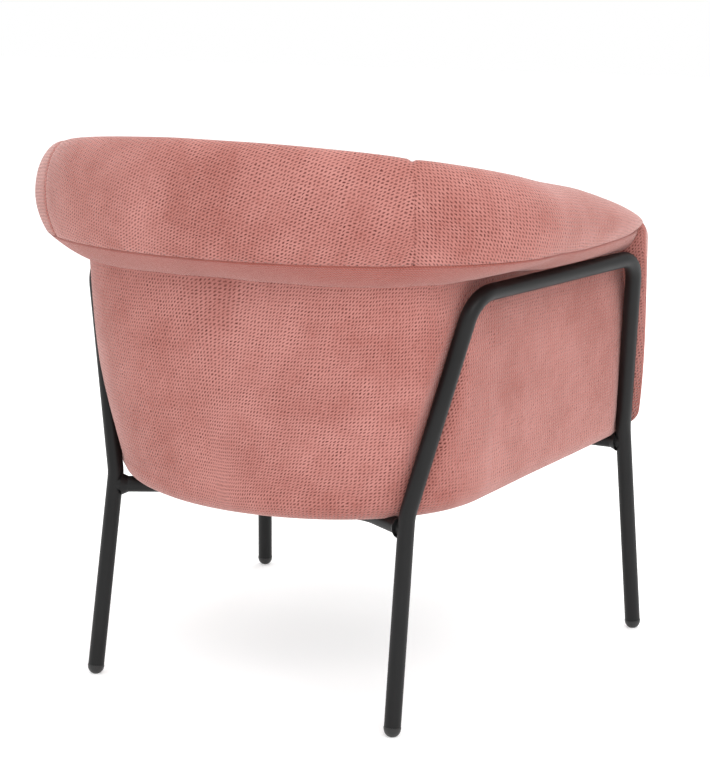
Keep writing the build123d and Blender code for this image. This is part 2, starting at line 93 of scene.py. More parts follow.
ARM_FRONT_RISE = 0.028
TUBE_RADIUS = 0.011

# Plan outlines of the tub: half width, depth behind the centre, corner power, widening to the front.
OUTSIDE_TOP = (0.280, 0.210, 3.3, 0.148)
OUTSIDE_BOTTOM = (0.280, 0.205, 1.95, 0.078)
INSIDE_TOP = (0.222, 0.147, 2.6, 0.05)
INSIDE_BOTTOM = (0.204, 0.112, 2.2, 0.05)

# Corners of the left side frame's centre line, from the rear foot over the arm to the front foot.
FRAME_LINE = [(0.235, 0.260, 0.012), (0.2285, 0.2135, 0.276), (0.295, 0.1625, 0.556),
              (0.351, -0.2065, 0.564), (0.308, -0.2825, 0.305), (0.3225, -0.302, 0.012)]


# ---------------------------------------------------------------- node materials
KNIT_PITCH = 0.0047                     # between neighbouring columns, and rows, of loops
STRIP_PITCH = 0.0036                    # the same on the strip under the rim, cut on the bias
STRIP_BIAS = 0.7
LEAN_WEIGHT = 2.2                       # how strongly the loops slant
PIT_SHARPNESS = 3.0
BLACK_FIBRE = (0.010, 0.010, 0.011, 1)
GREY_FIBRE = (0.028, 0.028, 0.030, 1)
BLACK_COAT = (0.0045, 0.0045, 0.0047, 1)
RUBBED_COAT = (0.0080, 0.0080, 0.0083, 1)
BLACK_PLASTIC = (0.010, 0.010, 0.010, 1)
SCUFFED_PLASTIC = (0.075, 0.072, 0.068, 1)
BLUE_ZINC = (0.46, 0.47, 0.49, 1)
YELLOW_ZINC = (0.62, 0.61, 0.58, 1)
SHEEN_PINK = (1.0, 0.80, 0.77, 1.0)


def new_material(name):
    """A material with an empty Principled shader; returns it with its node tree and shader."""
    material = bpy.data.materials.new(name)
    material.use_nodes = True
    tree = material.node_tree
    shader = next(each for each in tree.nodes if each.type == "BSDF_PRINCIPLED")
    return material, tree, shader


def node(tree, kind, inputs=None, **settings):
    """Add a shader node; an input is either another node's socket or a value."""
    made = tree.nodes.new("ShaderNode" + kind)
    for key, value in settings.items():
        setattr(made, key, value)
    for key, value in (inputs or {}).items():
        if isinstance(value, bpy.types.NodeSocket):
            tree.links.new(value, made.inputs[key])
        else:
            made.inputs[key].default_value = value
    return made


def maths(tree, operation, first, second=0.0, third=0.0):
    """One sum on up to three values."""
    values = {0: first, 1: second, 2: third}
    return node(tree, "Math", values, operation=operation).outputs[0]


def noise_at(tree, place, scale, detail=2.0, roughness=0.5):
    """Soft noise from 0 to 1, with about `scale` bumps to the metre."""
    values = {"Vector": place, "Scale": scale, "Detail": detail, "Roughness": roughness}
    return node(tree, "TexNoise", values).outputs["Fac"]


def blend(tree, amount, first, second):
    """Mix two colours, each a socket or a value."""
    mix = node(tree, "Mix", {"Factor": amount}, data_type="RGBA")
    for socket, value in ((mix.inputs[6], first), (mix.inputs[7], second)):
        if isinstance(value, bpy.types.NodeSocket):
            tree.links.new(value, socket)
        else:
            socket.default_value = value
    return mix.outputs[2]


def spread(tree, value, low, high, to_low=0.0, to_high=1.0):
    """Stretch a value's range from low..high to another, and hold it there."""
    limits = {"Value": value, "From Min": low, "From Max": high, "To Min": to_low, "To Max": to_high}
    return node(tree, "MapRange", limits).outputs[0]


def wire(tree, shader, colour, rough, relief, strength, distance):
    """Join a colour, a roughness and a bump to the shader; distance is the bump's height in metres."""
    tree.links.new(colour, shader.inputs["Base Color"])
    tree.links.new(rough, shader.inputs["Roughness"])
    bump = node(tree, "Bump", {"Height": relief, "Strength": strength, "Distance": distance})
    tree.links.new(bump.outputs[0], shader.inputs["Normal"])


def wave(tree, value):
    """A smooth wave from 0 to 1, highest at each whole number."""
    turned = maths(tree, "MULTIPLY", value, 2 * pi)
    return maths(tree, "MULTIPLY_ADD", maths(tree, "COSINE", turned), 0.5, 0.5)


def knit(name, base, pale_tone_and_sheen, pit_shade, wale=KNIT_PITCH, course=KNIT_PITCH, bias=0.0):
    """Chunky pink knit: columns of slanting loops, with painted shade in the small pits between them, and
    mottled with painted sheen in lighter patches where the pile lies.

    The three colours are those of the yarn, of its lighter patches (painted sheen) and fine fibre specks,
    and of the painted shade in the pits; wale and course are the pitch of the columns and rows of loops,
    and bias slants the columns.
    """
    material, tree, shader = new_material(name)
    uv = node(tree, "UVMap", uv_map="cloth").outputs[0]
    place = node(tree, "TexCoord").outputs["Object"]
    uneven = noise_at(tree, place, 170.0, 2.0)
    wander = maths(tree, "MULTIPLY_ADD", uneven, 0.60, noise_at(tree, place, 24.0, 1.0))
    parts = node(tree, "SeparateXYZ", {0: uv})
    slanted = maths(tree, "MULTIPLY_ADD", parts.outputs[1], bias, parts.outputs[0])
    column = maths(tree, "ADD", wander, maths(tree, "DIVIDE", slanted, wale))
    row = maths(tree, "ADD", wander, maths(tree, "DIVIDE", parts.outputs[1], course))
    between_wales, between_loops = wave(tree, column), wave(tree, row)
    leaning = wave(tree, maths(tree, "ADD", column, row))
    upright = maths(tree, "ADD", between_wales, between_loops)
    crossing = maths(tree, "MULTIPLY_ADD", leaning, LEAN_WEIGHT, upright)
    pit = maths(tree, "POWER", maths(tree, "DIVIDE", crossing, 2 + LEAN_WEIGHT), PIT_SHARPNESS)
    groove = maths(tree, "MULTIPLY", between_wales, 0.06)
    height = maths(tree, "SUBTRACT", 1.0, maths(tree, "ADD", pit, groove))
    fibre = noise_at(tree, place, 760.0, 4.0, 0.8)
    patches = noise_at(tree, place, 9.0, 3.0, 0.6)
    streaks = noise_at(tree, place, 42.0, 3.0, 0.65)
    # Painted sheen: lighter patches where the pile lies, and fine lighter fibre specks, blend the yarn
    # towards the lighter colour.
    pile = spread(tree, maths(tree, "MULTIPLY_ADD", streaks, 0.50, patches), 0.52, 0.94)
    cloth = blend(tree, pile, pale_tone_and_sheen, base)
    cloth = blend(tree, maths(tree, "MULTIPLY", spread(tree, fibre, 0.40, 0.64), 0.70), cloth, pale_tone_and_sheen)
    # Painted shade: the pits and grooves between loops are darkened towards the pit colour, more in some
    # tufts than in others.
    shadow = spread(tree, maths(tree, "ADD", groove, pit), 0.08, 0.62)
    tufts = spread(tree, noise_at(tree, place, 210.0, 2.0), 0.35, 0.62, 0.7, 1.0)
    shown = maths(tree, "MULTIPLY", tufts, spread(tree, streaks, 0.3, 0.7, 1.0, 0.6))
    depth = maths(tree, "MULTIPLY", shadow, shown)
    cloth = blend(tree, depth, cloth, pit_shade)
    rough = spread(tree, height, 0.0, 1.0, 0.98, 0.82)
    relief = maths(tree, "MULTIPLY_ADD", fibre, 0.35, height)
    wire(tree, shader, cloth, rough, relief, strength=0.75, distance=0.0011)
    shader.inputs["Sheen Weight"].default_value = 0.62
    shader.inputs["Sheen Roughness"].default_value = 0.32
    shader.inputs["Sheen Tint"].default_value = SHEEN_PINK
    shader.inputs["Specular IOR Level"].default_value = 0.18
    return material


def coated_steel():
    """Satin black powder coat with a fine orange-peel surface and slightly rubbed high spots."""
    material, tree, shader = new_material("satin_black_coat")
    place = node(tree, "TexCoord").outputs["Object"]
    peel = noise_at(tree, place, 900.0, 2.0)
    haze = noise_at(tree, place, 14.0, 3.0)
    colour = blend(tree, spread(tree, haze, 0.35, 0.7), BLACK_COAT, RUBBED_COAT)
    rough = maths(tree, "MULTIPLY_ADD", peel, 0.10, spread(tree, haze, 0.3, 0.7, 0.36, 0.44))
    wire(tree, shader, colour, rough, peel, strength=0.35, distance=0.00012)
    shader.inputs["Specular IOR Level"].default_value = 0.26
    return material


def moulded_plastic():
    """Black foot plastic: fine spark-eroded grain, greyer and rougher where it meets the floor."""
    material, tree, shader = new_material("foot_plastic_black")
    place = node(tree, "TexCoord").outputs["Object"]
    grain = noise_at(tree, place, 1400.0, 2.0)
    height = node(tree, "SeparateXYZ", {0: place}).outputs[2]
    at_floor = spread(tree, height, 0.0, 0.004, 1.0, 0.0)
    scuff = maths(tree, "MULTIPLY", at_floor, noise_at(tree, place, 260.0, 3.0))
    colour = blend(tree, scuff, BLACK_PLASTIC, SCUFFED_PLASTIC)
    rough = maths(tree, "MULTIPLY_ADD", scuff, 0.3, 0.42)
    wire(tree, shader, colour, rough, grain, strength=0.3, distance=0.0001)
    return material


def zinc_steel():
    """Zinc-plated fasteners and springs: clouded plating with fine drawn lines."""
    material, tree, shader = new_material("zinc_plated_steel")
    place = node(tree, "TexCoord").outputs["Object"]
    cloud = noise_at(tree, place, 130.0, 3.0)
    colour = blend(tree, cloud, BLUE_ZINC, YELLOW_ZINC)
    rough = spread(tree, cloud, 0.3, 0.7, 0.28, 0.45)
    lines = noise_at(tree, place, 1100.0)
    wire(tree, shader, colour, rough, lines, strength=0.2, distance=0.0001)
    shader.inputs["Metallic"].default_value = 1.0
    return material


def raw_timber(name, pale, dark):
    """Unfinished timber with long grain lines and pores."""
    material, tree, shader = new_material(name)
    place = node(tree, "TexCoord").outputs["Object"]
    stretched = node(tree, "Mapping", {"Vector": place, "Scale": (60.0, 5.0, 60.0)}).outputs[0]
    grain = noise_at(tree, stretched, 3.0, 4.0, 0.6)
    colour = blend(tree, spread(tree, grain, 0.3, 0.7), dark, pale)
    rough = spread(tree, grain, 0.3, 0.7, 0.72, 0.6)
    wire(tree, shader, colour, rough, grain, strength=0.3, distance=0.0004)
    return material


def plain_cloth(name, low, high, scale, rough):
    """Non-woven cloth: matted short fibres with a faint embossed grid."""
    material, tree, shader = new_material(name)
    place = node(tree, "TexCoord").outputs["Object"]
    fibre = noise_at(tree, place, scale, 4.0, 0.7)
    dots = node(tree, "TexVoronoi", {"Vector": place, "Scale": 420.0}).outputs["Distance"]
    colour = blend(tree, spread(tree, fibre, 0.35, 0.65), low, high)
    roughness = spread(tree, fibre, 0.3, 0.7, rough, 1.0)
    relief = maths(tree, "MULTIPLY_ADD", dots, 0.6, fibre)
    wire(tree, shader, colour, roughness, relief, strength=1.0, distance=0.0005)
    return material


def dust_cloth(name):
    """Thin black cloth of matted fibre."""
    return plain_cloth(name, BLACK_FIBRE, GREY_FIBRE, 700.0, 0.75)


PINK = knit("pink_knit", base=(0.330, 0.107, 0.087, 1), pale_tone_and_sheen=(0.508, 0.221, 0.194, 1),
            pit_shade=(0.072, 0.013, 0.010, 1))
STRIP_PINK = knit("pink_knit_strip", base=(0.320, 0.086, 0.068, 1), pale_tone_and_sheen=(0.400, 0.130, 0.107, 1),
                  pit_shade=(0.085, 0.017, 0.013, 1), wale=STRIP_PITCH, course=STRIP_PITCH, bias=STRIP_BIAS)


# ---------------------------------------------------------------- mesh making
def skin(name, rows, material, ring=False, caps=False, guide=0, turn=0.0, flip=False):
    """A mesh over rows of points, with its weave laid out both ways from a guide column, then turned.

    ring closes each row on itself, caps closes the two end rows, and flip turns the faces over.
    """
    count = len(rows[0])
    columns = count + 1 if ring else count
    points = [[Vector(p) for p in row] for row in rows]
    along, across = [0.0], []
    for i in range(1, len(rows)):
        along.append(along[-1] + (points[i][guide] - points[i - 1][guide]).length)
    for row in points:
        lengths = [0.0]
        for j in range(1, columns):
            lengths.append(lengths[-1] + (row[j % count] - row[j - 1]).length)
        across.append([length - lengths[guide] for length in lengths])

    vertices = [p for row in points for p in row]
    faces, uvs = [], []
    for i in range(len(rows) - 1):
        for j in range(columns - 1):
            corners = [(i, j), (i, j + 1), (i + 1, j + 1), (i + 1, j)]
            corners = corners[::-1] if flip else corners
            faces.append([a * count + b % count for a, b in corners])
            uvs.append([(along[a] * cos(turn) - across[a][b] * sin(turn),
                         along[a] * sin(turn) + across[a][b] * cos(turn)) for a, b in corners])
    if caps:
        for i in (0, len(rows) - 1):
            vertices.append(sum(points[i], Vector()) / count)
            hub = len(vertices) - 1
            for j in range(count):
                a, b = i * count + j, i * count + (j + 1) % count
                faces.append([a, b, hub])
                uvs.append([(vertices[k].x, vertices[k].z) for k in (a, b, hub)])
    mesh = bpy.data.meshes.new(name)
    mesh.from_pydata(vertices, [], faces)
    layer = mesh.uv_layers.new(name="cloth")
    for polygon, corners in zip(mesh.polygons, uvs):
        polygon.use_smooth = True
        for loop, place in zip(polygon.loop_indices, corners):
            layer.data[loop].uv = place
    if ring:
        tidy = bmesh.new()
        tidy.from_mesh(mesh)
        bmesh.ops.recalc_face_normals(tidy, faces=tidy.faces)
        tidy.to_mesh(mesh)
        tidy.free()
    mesh.materials.append(material)
    piece = bpy.data.objects.new(name, mesh)
    bpy.context.scene.collection.objects.link(piece)
    return piece


def columns_of(rows):
    """The same points, with columns for rows."""
    return [list(column) for column in zip(*rows)]


def mirror_rows(rows):
    """The same rows on the chair's other side."""
    return [[(-x, y, z) for x, y, z in row] for row in rows]


def fit_piece(piece, slot, *nodes):
    """Give a piece its body, and put it in the place of CAD nodes, which are hidden; slot is not used."""
    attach(piece, "root")
    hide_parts(*nodes)
    return piece


def superellipse(angle, power):
    """Point at an angle on a squarish circle of radius 1."""
    side, depth = cos(angle), sin(angle)
    return (copysign(abs(side) ** (2 / power), side), copysign(abs(depth) ** (2 / power), depth))


def between(low, high, share):
    """Values part of the way from one list to another."""
    return [a + (b - a) * share for a, b in zip(low, high)]


def ease(share):
    """0 up to 0, 1 from 1 on, and a smooth change between."""
    share = min(max(share, 0.0), 1.0)
    return share * share * (3 - 2 * share)


def soften(point, normal, depth, size, seed):
    """Move a point along its normal by smooth noise, as stuffing does."""
    push = noise.noise(Vector(point) / size + Vector((seed, seed, seed))) * depth
    return tuple(a + b * push for a, b in zip(point, normal))


def front_limit(height):
    """Y of the plane where the arm fronts begin: it leans with the front legs."""
    top, knee = FRAME_LINE[3], FRAME_LINE[4]
    lean = (top[1] - knee[1]) / (top[2] - knee[2])
    return top[1] - TUBE_RADIUS - 0.002 - lean * (top[2] - height)


# ---------------------------------------------------------------- rolled rim
RIM_FOOT = RIM_UNDERSIDE + 0.004        # the roll's lowest level on the inside
INNER_OVERLAP = 0.010                   # how far the rim reaches past the inside wall's top
SEAM_KEY = 1 - CORNER_SEAM / (pi / 2)
ARM_END_KEY = 2.0                       # the rim ends here, behind the arm fronts
RIDGE_COLUMN = 18                       # column of the rim's section that the weave is measured from
BACK_PANEL_TURN = radians(-14)          # the back panel's weave isn't quite upright
KEY_LENGTH = 0.58                       # metres of rim per unit of station key round the back
ARM_KEY_LENGTH = 0.33                   # and along the arms


def crown(y):
    """Height of the rim's ridge: it falls to the front, fuller on the way, and rolls down at the end."""
    fullness = 0.0075 * ease((0.13 - y) / 0.15) - 0.0035 * ease((-0.05 - y) / 0.15)
    roll_down = 0.011 * ease((-0.20 - y) / 0.12)
    return CROWN_AT_ORIGIN + CROWN_SLOPE * y + fullness - roll_down


def pad_width(y):
    """Half width of the rim's outer edge, ahead of its centre."""
    ahead = min((PAD_CENTRE - y) / (DEPTH + PAD_CENTRE), 1.0)
    return HALF_WIDTH * (1 - ahead ** FRONT_POWER) ** (1 / FRONT_POWER)


def rim_profile(ridge):
    """The rim's outside and top, from its seam to its ridge, as pairs.

    Each pair is a distance in from the rim's edge and a share of its height.
    """
    shape = []
    for step in range(9):
        rise = step / 9
        shape.append((RIM_TUCK * (1 - rise) ** 2, RIM_WIDEST * rise))
    for step in range(14):
        side, height = superellipse(pi / 2 * step / 13, 1.95)
        shape.append((ridge * (1 - side), RIM_WIDEST + (1 - RIM_WIDEST) * height))
    return shape


def station_point(station, inward, height_at):
    """Point of the rim at a distance in from its edge; height_at gives z for a given y.

    A station is the angle round the back, the share of the run along the arm, the place of the rim's
    edge in plan, and the edge's outward direction.
    """
    _, run, x, y, normal = station
    if run == 0.0:
        px, py = x - normal.x * inward, y - normal.y * inward
        return (px, py, height_at(py))
    py = PAD_CENTRE
    for _ in range(3):
        z = height_at(py)
        py = PAD_CENTRE + run * (front_limit(z) - PAD_CENTRE)
    return (pad_width(py) - inward, py, height_at(py))


def ridge_inset(station):
    """How far in from its edge the rim is highest."""
    y = station[3] if station[1] == 0.0 else PAD_CENTRE - station[1] * 0.31
    return 0.030 + 0.021 * ease((DEPTH - y) / DEPTH)


def inside_outline(shape, x, y):
    """Whether a point in plan is inside one of the tub's outlines."""
    half_width, back, power, flare = shape
    if y < SHELL_CENTRE:
        return abs(x) < half_width + flare * (SHELL_CENTRE - y)
    return (abs(x) / half_width) ** power + ((y - SHELL_CENTRE) / back) ** power < 1


def wall_depth(station, outline):
    """How far in from the rim's edge one of the tub's outlines lies."""
    low, high = 0.0, 0.24
    for _ in range(18):
        middle = (low + high) / 2
        x, y, _ = station_point(station, middle, lambda y: SHELL_TOP)
        low, high = (low, middle) if inside_outline(outline, x, y) else (middle, high)
    return high


def inner_reach(station):
    """How far in from its edge the rim reaches, to lie over the inside wall."""
    narrowing = 0.018 * ease((station[1] - 0.7) / 0.3)
    return wall_depth(station, INSIDE_TOP) + INNER_OVERLAP - narrowing


def seam_height(station):
    """Height of the seam under the rim, a little lower along the arms."""
    return RIM_SEAM - 0.003 * ease(station[1] / 0.3)


def rim_row(station, pull):
    """Closed section of the rim at a station; pull draws it in where a seam crosses."""
    ridge, far, seam = ridge_inset(station), inner_reach(station), seam_height(station)
    narrow = 0.005 * ease((station[1] - 0.75) / 0.25)
    row = []
    for inward, share in rim_profile(ridge):
        row.append(station_point(station, inward + narrow + pull * (1 - share),
                                 lambda y, h=share: seam + (crown(y) - seam - pull) * h))
    for step in range(1, 19):
        side, height = superellipse(pi / 2 * step / 18, 2.1)
        row.append(station_point(station, ridge + (far - ridge) * height,
                                 lambda y, h=side: RIM_FOOT + (crown(y) - pull - RIM_FOOT) * h))
    for step in range(1, 7):
        share = step / 7
        row.append(station_point(station, far + (0.018 - far) * share,
                                 lambda y, h=share: RIM_FOOT + (seam - RIM_UNDERSIDE - 0.010) * h))
    return row


def seam_pull(distance):
    """How far cloth is drawn in near a seam."""
    return 0.0026 * exp(-(distance / 0.0045) ** 2) + 0.0008 * exp(-(distance / 0.02) ** 2)


def station_key(station):
    """0 at the middle of the back, 1 where the arm begins and 2 where it ends."""
    return 1 - station[0] / (pi / 2) + station[1]


def dense_stations(start, end, count):
    """Stations from one key to another, crowded towards both ends for the seams."""
    result = []
    for step in range(count + 1):
        share = (1 - cos(pi * step / count)) / 2
        share = 0.6 * share + 0.4 * ease(share)
        key = start + (end - start) * share
        sign = 1 if key >= 0 else -1
        key = abs(key)
        if key <= 1:
            angle = pi / 2 * (1 - key)
            normal = Vector((cos(angle) / HALF_WIDTH, sin(angle) / (DEPTH - PAD_CENTRE))).normalized()
            x, y = HALF_WIDTH * cos(angle), PAD_CENTRE + (DEPTH - PAD_CENTRE) * sin(angle)
            station = (angle, 0.0, x, y, normal)
        else:
            station = (0.0, key - 1, HALF_WIDTH, PAD_CENTRE, Vector((1, 0)))
        result.append((sign, station))
    return result


def rim_panel(name, start, end, count):
    """One cover panel of the rim between two seams, with the rows it was made from."""
    end_length = KEY_LENGTH if end < ARM_END_KEY else ARM_KEY_LENGTH
    rows = []
    for sign, station in dense_stations(start, end, count):
        key = sign * station_key(station)
        gap = min(abs(key - start) * KEY_LENGTH, abs(key - end) * end_length)
        row = rim_row(station, seam_pull(gap))
        row = [(sign * x, y, z) for x, y, z in row]
        outward = Vector((sign * station[4].x, station[4].y, 0.35))
        row = [soften(p, outward, 0.0022, 0.085, 3.0) for p in row]
        rows.append(row)
    turn = BACK_PANEL_TURN if start < 0 else 0.0
    return skin(name, rows, PINK, ring=True, caps=True, guide=RIDGE_COLUMN, turn=turn), rows


def make_rim():
    """The rolled rim: a back panel and two arm panels, which meet at the rear corners."""
    back, _ = rim_panel("rim_cover_back_cloth", -SEAM_KEY, SEAM_KEY, 110)
    fit_piece(back, "cover_fabric", "rim_cover_back", "rim_foam_back")
    left, rows = rim_panel("rim_cover_left_cloth", SEAM_KEY, ARM_END_KEY, 120)
    fit_piece(left, "cover_fabric", "rim_cover_left", "rim_foam_left")
    right = skin("rim_cover_right_cloth", mirror_rows(rows), PINK, ring=True, caps=True,
                 guide=RIDGE_COLUMN)
    fit_piece(right, "cover_fabric", "rim_cover_right", "rim_foam_right")


# ---------------------------------------------------------------- shell outlines
def widening(y):
    """How much of the widening towards the front is reached; it sets in gently."""
    return 0.022 * log1p(exp((SHELL_CENTRE - y) / 0.022))


def outline_level(shape, inset, height, slope, front, sides=22, around=90):
    """Half outline of the tub at one level, from the left arm front round the back to the right one."""
    half_width, back, power, flare = shape
    left = []
    for step in range(sides):
        y = SHELL_CENTRE + (front - SHELL_CENTRE) * (1 - step / sides)
        left.append((half_width - inset + flare * widening(y), y))
    turn = []
    for step in range(around + 1):
        x, y = superellipse(pi * step / around, power)
        y = SHELL_CENTRE + (back - inset) * y
        turn.append(((half_width - inset) * x + flare * widening(y) * (1 if x > 0 else -1), y))
    points = left + turn + [(-x, y) for x, y in reversed(left)]
    return [(x, y, height - slope * y) for x, y in points]


def strip_rows(start, end, count):
    """Rows across the strip under the rim, from the rim's seam to the shell."""
    rows = []
    for sign, station in dense_stations(start, end, count):
        depth, seam = wall_depth(station, OUTSIDE_TOP) + 0.004, seam_height(station)
        sag = 0.0045 + 0.0065 * ease(station[1] / 0.3)
        key = sign * station_key(station)
        waviness = 0.0016 * noise.noise(Vector((key * 9, 1.7, 0)))
        waviness += 0.0007 * noise.noise(Vector((key * 31, 4.1, 0)))
        row = []
        row.append(station_point(station, RIM_TUCK + 0.006, lambda y: seam + 0.002))
        for step in range(15):
            share = step / 14
            inward = RIM_TUCK + 0.0004 + (depth - RIM_TUCK) * share
            belly = sag * sin(pi * share) ** 0.8
            fall = (seam - RIM_UNDERSIDE + 0.001) * share ** 0.92
            height = seam - 0.0006 - fall - belly + waviness * share
            row.append(station_point(station, inward, lambda y, h=height: h))
        rows.append([(sign * x, y, z) for x, y, z in row])
    return rows


def make_strip():
    """The strip under the rim, a long curved band from one arm front to the other."""
    piece = skin("rim_underside_cloth", strip_rows(-ARM_END_KEY, ARM_END_KEY, 300), STRIP_PINK, flip=True)
    fit_piece(piece, "strip_fabric", "rim_underside")


# ---------------------------------------------------------------- shell
WALL_BOTTOM = SHELL_BOTTOM + EDGE_RADIUS
COVER_OVERLAP = 1.012                   # share of the wall's height where the cover starts
EDGE_STEPS = 18                         # levels round the bottom edge
SHELL_GUIDE = 30                        # level that the shell's weave is measured from
GROOVE_GAP = 0.0006                     # between a tube and the cloth pressed round it
GROOVE_SOFTNESS = 0.0025
GROOVE_NEAR = 0.06                      # cloth further than this from a tube isn't pressed
GROOVE_CURVE = 0.55                     # how strongly the groove follows the tube's roundness
INSIDE_FOOT = 0.32                      # the inside cover starts at this share of the wall's height
INSIDE_HEAD = 0.94                      # and turns out towards the rim at this one
INSIDE_TUCK = 0.030                     # radius of that turn


def tube_segments():
    """Straight runs of the tubes' centre lines near the shell, both sides."""
    runs = list(zip(FRAME_LINE[:-1], FRAME_LINE[1:]))
    segments = [(Vector(a), Vector(b)) for a, b in runs]
    segments += [(Vector((-a.x, a.y, a.z)), Vector((-b.x, b.y, b.z))) for a, b in list(segments)]
    return segments


def clear_of_tubes(point, inward):
    """Press the padded shell into a soft groove where a tube rests against it."""
    position, reach = Vector(point), TUBE_RADIUS + GROOVE_GAP
    for start, end in SEGMENTS:
        along = end - start
        share = min(max((position - start).dot(along) / along.length_squared, 0.0), 1.0)
        away = position - (start + along * share)
        if away.length < GROOVE_NEAR:
            depth = away.dot(inward)
            aside = (away - inward * depth).length_squared
            groove = reach - GROOVE_CURVE * aside / (2 * reach)
            press = GROOVE_SOFTNESS * log1p(exp((groove - depth) / GROOVE_SOFTNESS))
            position = position + inward * press
    return tuple(position)


SEGMENTS = tube_segments()


def shell_rows():
    """Levels of the outer cover from under the rim down and round the bottom edge."""
    rows = []
    for step in range(61):
        share = COVER_OVERLAP * (1 - step / 60)
        shape = between(OUTSIDE_BOTTOM, OUTSIDE_TOP, share)
        height = WALL_BOTTOM + (SHELL_TOP - WALL_BOTTOM) * share
        slope = SHELL_SLOPE * (1 - share)
        belly = 0.004 * sin(pi * min(share, 1.0))
        rows.append(outline_level(shape, -belly, height, slope, front_limit(height) - 0.004))
    for step in range(1, EDGE_STEPS + 4):
        turn = pi / 2 * min(step / EDGE_STEPS, 1.0)
        beyond = max(step - EDGE_STEPS, 0)
        inset = EDGE_RADIUS * (1 - cos(turn)) + 0.009 * beyond
        height = WALL_BOTTOM - EDGE_RADIUS * sin(turn) + 0.0015 * beyond
        front = front_limit(height) - 0.004
        rows.append(outline_level(OUTSIDE_BOTTOM, inset, height, SHELL_SLOPE, front))
    return rows


def make_shell():
    """The outer cover, seamless from one arm front to the other."""
    rows = shell_rows()
    result = []
    for row in rows:
        level = []
        for j, point in enumerate(row):
            before, after = Vector(row[max(j - 1, 0)]), Vector(row[min(j + 1, len(row) - 1)])
            tangent = (after - before).normalized()
            inward = Vector((-tangent.y, tangent.x, 0)).normalized()
            point = clear_of_tubes(point, inward)
            level.append(soften(point, -inward, 0.0016, 0.11, 7.0))
        result.append(level)
    piece = skin("outer_cover_cloth", columns_of(result), PINK, guide=SHELL_GUIDE)
    fit_piece(piece, "cover_fabric", "outer_cover", "outer_wadding", "bottom_edge_roll")


def inner_level(shape, inset, height, slope):
    """One level of the inside cover; its ends turn outwards behind the arm fronts."""
    level = outline_level(shape, inset, height, slope, front_limit(height) - 0.016)
    x, y, z = level[0]
    turned = [(max(x, ARM_INSIDE) + 0.030, y - 0.004, z), (x + 0.006, y - 0.0035, z)]
    turned.append((x + 0.001, y - 0.001, z))
    return turned + level + [(-a, b, c) for a, b, c in reversed(turned)]


def inner_rows():
    """Levels of the inside cover, from below the seat up to where it tucks under the rim."""
    rows = []
    for step in range(41):
        share = INSIDE_FOOT + (INSIDE_HEAD - INSIDE_FOOT) * step / 40
        shape = between(INSIDE_BOTTOM, INSIDE_TOP, share)
        height = WALL_BOTTOM + (SHELL_TOP - WALL_BOTTOM) * share
        belly = 0.006 * sin(pi * step / 40)
        rows.append(inner_level(shape, belly, height, SHELL_SLOPE * (1 - share)))
    top = WALL_BOTTOM + (SHELL_TOP - WALL_BOTTOM) * INSIDE_HEAD
    shape = between(INSIDE_BOTTOM, INSIDE_TOP, INSIDE_HEAD)
    for step in range(1, 13):
        angle = pi / 2 * step / 12
        height = top + INSIDE_TUCK * sin(angle)
        rows.append(inner_level(shape, -INSIDE_TUCK * (1 - cos(angle)), height, 0.003))
    rows.append(inner_level(shape, -INSIDE_TUCK - 0.025, top + INSIDE_TUCK, 0.003))
    return rows


def make_inside():
    """The inside cover, from one arm front round the back to the other."""
    piece = skin("inner_cover_cloth", columns_of(inner_rows()), PINK, flip=True)
    fit_piece(piece, "cover_fabric", "inner_cover", "inner_wall_foam")


# ---------------------------------------------------------------- arm fronts
ARM_RIDGE_INSET = 0.045
ARM_LOWER_RADIUS = 0.027                # rounding at the bottom of the outside
ARM_INNER_RADIUS = 0.012                # and of the inside
ARM_INNER_DROP = 0.040                  # height of the rounding towards the seat


